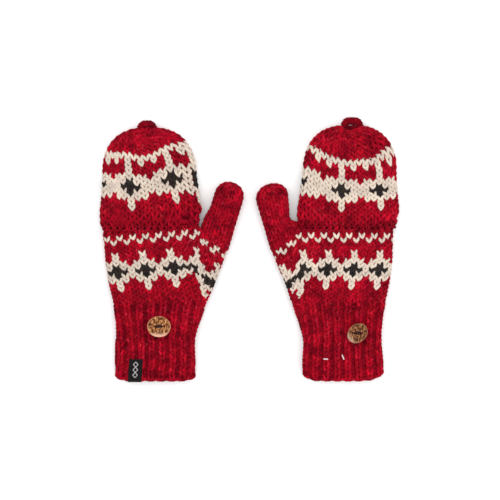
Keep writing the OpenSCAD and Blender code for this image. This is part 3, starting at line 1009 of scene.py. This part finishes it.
def make_hinge_seam(side):
    """Whip stitches that hold the cap to the back of the hand, darkened as painted crease shade."""
    out, inn, z0, z1 = outline_at(outline(side + "_knuckles"), HINGE_Y)
    x = np.linspace(inn + 5, out - 5, SEAM_POINTS)
    u = np.abs((x - (out + inn) / 2) / ((out - inn) / 2))
    z = (z0 + z1) / 2 + (z1 - z0) / 2 * (1 - u ** SQUARE) ** (1 / SQUARE) + 0.1
    phase = 2 * np.pi * SEAM_TURNS * (x - x[0]) / (x[-1] - x[0])
    path = np.stack([x + 1.2 * np.cos(phase), HINGE_Y + SEAM_LINE + 0.5 * np.cos(phase),
                     z - 1.3 + 0.3 * np.sin(phase)], -1)
    dye = dyes(np.full(SEAM_POINTS // 10, RED))[np.arange(SEAM_POINTS) // 10] * SEAM_PAINTED_SHADE
    mesh = Mesh()
    tube(mesh, path, upward(SEAM_POINTS) + 0.2, 0.75, dye, False, sides=6)
    knitted(mesh, side, "hinge_whip_stitch", "mitten", "hinge_seam")


LOOP_BEND = 4.6          # radius of its shoulders
LOOP_SLACK = pair(2.1, 2.0)   # how far the worn loop sags short of its height
LOOP_SPREAD = pair(0.4, 1.6)  # and how much wider it lies


def make_loop(side):
    """Twisted cord: up one leg, over the rounded shoulders and down the other."""
    low, high = box_mm(side + "_loop")
    reach = (high[0] - low[0]) / 2 - LOOP_CORD + LOOP_SPREAD[side]
    foot, top = low[1] + 0.6, high[1] - LOOP_CORD - LOOP_SLACK[side]
    arc = np.linspace(0, np.pi / 2, 14)
    leg = np.stack([np.linspace(reach + 0.6, reach, 6, endpoint=False),
                    np.linspace(foot, top - LOOP_BEND, 6, endpoint=False)], -1)
    shoulder = np.stack([reach - LOOP_BEND + LOOP_BEND * np.cos(arc),
                         top - LOOP_BEND + LOOP_BEND * np.sin(arc)], -1)
    bar = np.stack([np.linspace(reach - LOOP_BEND, 0, 10)[1:], np.full(9, top)], -1)
    half = np.vstack([leg, shoulder, bar])
    plan = np.vstack([half, half[-2::-1] * [-1, 1]])
    path = np.c_[(low[0] + high[0]) / 2 + plan[:, 0], plan[:, 1],
                 np.full(len(plan), (low[2] + high[2]) / 2)]
    fine = np.linspace(0, len(path) - 1, 220)
    path = np.stack([np.interp(fine, np.arange(len(path)), path[:, k]) for k in range(3)], -1)
    mesh = Mesh()
    rope(mesh, path, upward(len(path)), False, *LOOP_ROPE, plies=4, taper=0.2, shade=0.52)
    knitted(mesh, side, "loop_cord", "loop_cord", "loop")


# ---------------- buttons and labels

BUTTON_TILT = pair((-18, 0), (-6, 6))   # degrees about x and y as it lies
# Coconut buttons are never quite round: short axis over long, and the long axis's angle
BUTTON_OVAL = pair((0.93, 0), (0.83, 38))
BUTTON_SIZE = pair(0.97, 0.91)
BUTTON_TONE = pair((0.70, 0.56, 0.47), (0.44, 0.34, 0.29))
BUTTON_PALE = pair((0.0, -1.0), (-0.8, -0.6))   # which way the pale edge faces
BUTTON_AROUND = 96       # points round it
# Underside, rim, dished face: radius and height as shares, and how much of the cut rim shows
BUTTON_PROFILE = ((0.50, 0.0, 0), (0.74, 0.02, 0), (0.90, 0.16, 0.6), (0.985, 0.36, 1),
                  (1.0, 0.55, 1), (0.985, 0.78, 1), (0.94, 0.93, 0.7), (0.88, 0.98, 0.15),
                  (0.82, 0.96, 0), (0.74, 0.84, 0), (0.62, 0.76, 0), (0.30, 0.73, 0))
HOLE_OUT, HOLE_RADIUS = 2.7, 1.25


def make_button(side):
    """Turned disc with a dished face and two thread holes, tipped as it hangs on its thread."""
    low, high = box_mm(side + "_button")
    centre, radius, thick = (low + high) / 2, (high[0] - low[0]) / 2, high[2] - low[2]
    oval, slant = BUTTON_OVAL[side][0], math.radians(BUTTON_OVAL[side][1])
    angle = 2 * np.pi * np.arange(BUTTON_AROUND)[:, None] / BUTTON_AROUND
    uneven = 1 + 0.012 * np.sin(2 * angle + 0.7) + 0.008 * np.sin(5 * angle)
    share, height, rim = np.array(BUTTON_PROFILE).T
    reach = share * radius * uneven * BUTTON_SIZE[side]
    long, short = reach * np.cos(angle), reach * np.sin(angle) * oval
    points = np.stack([long * math.cos(slant) - short * math.sin(slant),
                       long * math.sin(slant) + short * math.cos(slant),
                       np.broadcast_to(height * thick, long.shape)], -1)
    index = np.arange(long.size).reshape(long.shape)
    after = np.roll(index, -1, 0)
    faces = np.stack([index[:, :-1], after[:, :-1], after[:, 1:], index[:, 1:]], -1)
    ends = [index[::-1, 0].tolist(), index[:, -1].tolist()]
    mesh = bpy.data.meshes.new(side + "_coconut_button")
    mesh.from_pydata(points.reshape(-1, 3).tolist(), [], faces.reshape(-1, 4).tolist() + ends)
    paint(mesh, "Rim", np.tile(rim, BUTTON_AROUND))
    made = add_object(side + "_coconut_button", mesh)
    for end in (-1, 1):
        bpy.ops.mesh.primitive_cylinder_add(vertices=24, radius=HOLE_RADIUS, depth=4 * thick,
                                            location=(end * HOLE_OUT, 0, 0))
        drill = bpy.context.active_object
        hole = made.modifiers.new("hole", "BOOLEAN")
        hole.operation, hole.object, hole.solver = "DIFFERENCE", drill, "EXACT"
        apply_modifier(made, hole)
        bpy.data.objects.remove(drill)
    mesh = made.data
    loops, co = np.empty(len(mesh.loops), int), np.empty(len(mesh.vertices) * 3)
    mesh.loops.foreach_get("vertex_index", loops)
    mesh.vertices.foreach_get("co", co)
    co = co.reshape(-1, 3)
    turned = co[loops][:, :2] / radius
    mesh.uv_layers.new(name="Turned").data.foreach_set("uv", turned.ravel())
    mesh.vertices.foreach_set("co", place_button(side, co, centre, low).ravel())
    if SIGN[side] < 0:
        mesh.flip_normals()
    mesh.shade_smooth()
    mesh.set_sharp_from_angle(angle=math.radians(50))
    mesh.materials.clear()
    mesh.materials.append(COCONUT)
    faced = co[:, :2] @ np.array(BUTTON_PALE[side]) / radius
    paint(mesh, "Pale", 0.75 * ease((faced - 0.45) / 0.45))
    paint(mesh, "Tone", [[*BUTTON_TONE[side], 1.0]] * len(mesh.vertices))
    attach(made, side, "button_disc", "coconut", "button")
    make_button_thread(side, centre, low, thick)


def place_button(side, points, centre, low):
    """Tips a button's own coordinates and sets it on the cuff."""
    tip_x, tip_y = (math.radians(a) for a in BUTTON_TILT[side])
    cx, sx, cy, sy = math.cos(tip_x), math.sin(tip_x), math.cos(tip_y), math.sin(tip_y)
    turn = np.array([[1, 0, 0], [0, cx, -sx], [0, sx, cx]]) @ np.array(
        [[cy, 0, sy], [0, 1, 0], [-sy, 0, cy]])
    return to_world(np.asarray(points) @ turn.T + [centre[0], centre[1], low[2] + 0.3], side)


def make_button_thread(side, centre, low, thick):
    """Two strands from hole to hole across the face, and the wrapped shank underneath."""
    mesh = Mesh()
    bar = np.linspace(-1, 1, 40)
    for offset in (-0.8, 0.8):
        path = np.stack([2.1 * bar - 0.8 * offset, offset * (1 - 0.3 * bar ** 2),
                         thick * 0.73 + 1.0 - 2.6 * np.abs(bar) ** 4], -1)
        tube(mesh, path, upward(len(bar)), 0.85, THREAD_DYE["button"], False)
    turn = np.linspace(0, 2 * np.pi * 4, 120)
    path = np.stack([3.0 * np.cos(turn), 1.9 * np.sin(turn), -1.7 + 1.6 * turn / turn[-1]], -1)
    tube(mesh, path, path * [1, 1, 0], 0.5, THREAD_DYE["button"], False)
    mesh.points = [(place_button(side, p, centre, low) / MM - [CENTRE[side], 0, 0])
                   * [SIGN[side], 1, 1] for p in mesh.points]
    made = mesh.build(side + "_button_sewing", side, THREAD)
    attach(made, side, "button_disc", "thread", "button_thread")


TAPE_THICK = 0.45
TAPE_CELL = 0.8          # a tape's grid has a row this often


def make_tape(name, side, path, width, x, material, slot, replaced, lean=0.0):
    """A woven strip whose middle follows path[(y, z)], with rolled selvedges and real thickness."""
    path = np.asarray(path, dtype=float)
    step = np.r_[0, np.cumsum(np.linalg.norm(np.diff(path, axis=0), axis=1))]
    length = step[-1]
    along = np.linspace(0, length, max(12, int(length / TAPE_CELL)))
    a, c = np.meshgrid(along, np.linspace(-1, 1, 15), indexing="ij")
    y, z = (np.interp(a, step, path[:, k]) for k in range(2))
    points = np.stack([x + c * width / 2 + lean * (y - path[0, 0]),
                       y + 0.06 * np.cos(a * 1.1) * np.abs(c) ** 3, z - 0.22 * c * c], -1)
    index = np.arange(a.size).reshape(a.shape)
    faces = np.stack([index[:-1, :-1], index[:-1, 1:], index[1:, 1:], index[1:, :-1]], -1)
    mesh = bpy.data.meshes.new(name)
    mesh.from_pydata(to_world(points, side).reshape(-1, 3).tolist(), [],
                     faces.reshape(-1, 4).tolist())
    uv = np.stack([c * width / 2, a], -1).reshape(-1, 2)[faces.ravel()]
    mesh.uv_layers.new(name="Weave").data.foreach_set("uv", uv.ravel())
    made = add_object(name, mesh)
    solid = made.modifiers.new("thickness", "SOLIDIFY")
    solid.thickness, solid.offset = TAPE_THICK * MM, 0.0
    apply_modifier(made, solid)
    made.data.shade_smooth()
    made.data.set_sharp_from_angle(angle=math.radians(60))
    made.data.materials.append(material)
    attach(made, side, "mitten", slot, replaced)


TAB_LIFT = 2.2           # the tab rides up with the worn hem
TAB_LEAN = -0.06
TAB_SHIFT = -1.8         # how far it lies from the middle of its CAD solid
TAB_WIDTH = 0.94         # its width, as a share of that solid's
TAB_INSIDE = 14.5        # how far it goes up inside the cuff


def make_tab():
    """Black tab: down the back of the left cuff, round the hem and up inside it."""
    low, high = box_mm("left_tab")
    top, hem, inner = high[1] + TAB_LIFT, low[1] + TAB_LIFT, low[2]
    face_z, width = high[2] + 0.55, TAB_WIDTH * (high[0] - low[0])
    bend = (face_z - inner) / 2
    path = [(top, face_z - 0.5), (top - 2, face_z)]
    path += [(hem + 0.9 + 1.6 * math.cos(a), inner + bend + bend * math.sin(a))
             for a in np.linspace(math.pi / 2, 3 * math.pi / 2, 12)]
    path += [(hem + TAB_INSIDE, inner)]
    make_tape("left_hem_tab", "left", path, width, (low[0] + high[0]) / 2 + TAB_SHIFT,
              BLACK_TAPE, "black_tape", "tab", lean=TAB_LEAN)


def make_care_label():
    """White label, inside the right cuff."""
    low, high = box_mm("right_care_label")
    z = (low[2] + high[2]) / 2 - 0.3
    path = [(high[1], z + 0.6), (high[1] - 4, z + 0.1), ((low[1] + high[1]) / 2, z - 0.3),
            (low[1] + 1, z + 0.1)]
    make_tape("right_inner_label", "right", path, high[0] - low[0], (low[0] + high[0]) / 2,
              WHITE_TAPE, "white_tape", "care_label")


def make_label_stitches():
    """Two white tacks through the cuff, each a bar of doubled thread."""
    low, high = box_mm("right_label_stitches")
    ends = (((low[0], low[1] + 1.9), (low[0] + 4.2, low[1] + 1.8)),
            ((high[0] - 3.3, high[1] + 0.4), (high[0] - 1.6, high[1] - 4.0)))
    t = np.linspace(0, 1, 16)
    z = high[2] + 0.15 + 0.5 - 1.6 * np.abs(2 * t - 1) ** 4
    mesh = Mesh()
    for (x0, y0), (x1, y1) in ends:
        across = np.array([-(y1 - y0), x1 - x0]) / math.hypot(x1 - x0, y1 - y0)
        for offset in (-0.22, 0.22):
            path = np.stack([x0 + (x1 - x0) * t + across[0] * offset,
                             y0 + (y1 - y0) * t + across[1] * offset, z], -1)
            tube(mesh, path, upward(len(t)), 0.38, THREAD_DYE["label"], False)
    made = mesh.build("right_white_tacks", "right", THREAD)
    attach(made, "right", "mitten", "white_tape", "label_stitches")


for SIDE in SIGN:
    make_cap(SIDE)
    make_hand(SIDE)
    make_cuff(SIDE)
    make_thumb(SIDE)
    make_knuckles(SIDE)
    for FINGER in FINGERS:
        make_finger_tube(SIDE, FINGER)
    make_hinge_seam(SIDE)
    make_loop(SIDE)
    make_button(SIDE)
make_tab()
make_care_label()
make_label_stitches()

# ---------------- stage, light, camera

# In metres, apart from the sensor
FLOOR_Z = -0.0004
CAMERA = (0.0005, -0.0005, 2.0)   # straight above the pair, looking down
FIELD = 0.5              # width of the picture
SENSOR = 36


def make_stage():
    bpy.ops.mesh.primitive_plane_add(size=6, location=(0, 0, FLOOR_Z))
    floor = bpy.context.active_object
    floor.name = "floor"
    paper = Shading("paper")
    paper.feed(paper.shader, {"Base Color": grey(0.93), "Roughness": 0.9})
    floor.data.materials.append(paper.material)


def make_light(name, place, size, power):
    """A round soft light that faces the mittens."""
    light = bpy.data.lights.new(name, "AREA")
    light.shape, light.size, light.energy = "DISK", size, power
    made = add_object(name, light)
    made.location = place
    made.rotation_euler = (-Vector(place)).to_track_quat("-Z", "Y").to_euler()


def make_camera():
    data = bpy.data.cameras.new("camera")
    data.sensor_width = SENSOR
    data.lens = SENSOR * CAMERA[2] / FIELD
    data.clip_end = 20
    made = add_object("camera", data)
    made.location = CAMERA
    bpy.context.scene.camera = made


def make_world():
    world = bpy.data.worlds.new("studio")
    world.use_nodes = True
    background = world.node_tree.nodes["Background"]
    background.inputs[0].default_value = (1, 1, 1, 1)
    background.inputs[1].default_value = 0.98
    bpy.context.scene.world = world


make_stage()
make_world()
make_light("key", place=(-0.3, 0.4, 1.85), size=1.9, power=17)
make_light("fill", place=(1.0, -0.6, 1.4), size=1.4, power=10)
make_camera()
bpy.context.scene.view_settings.view_transform = "Standard"
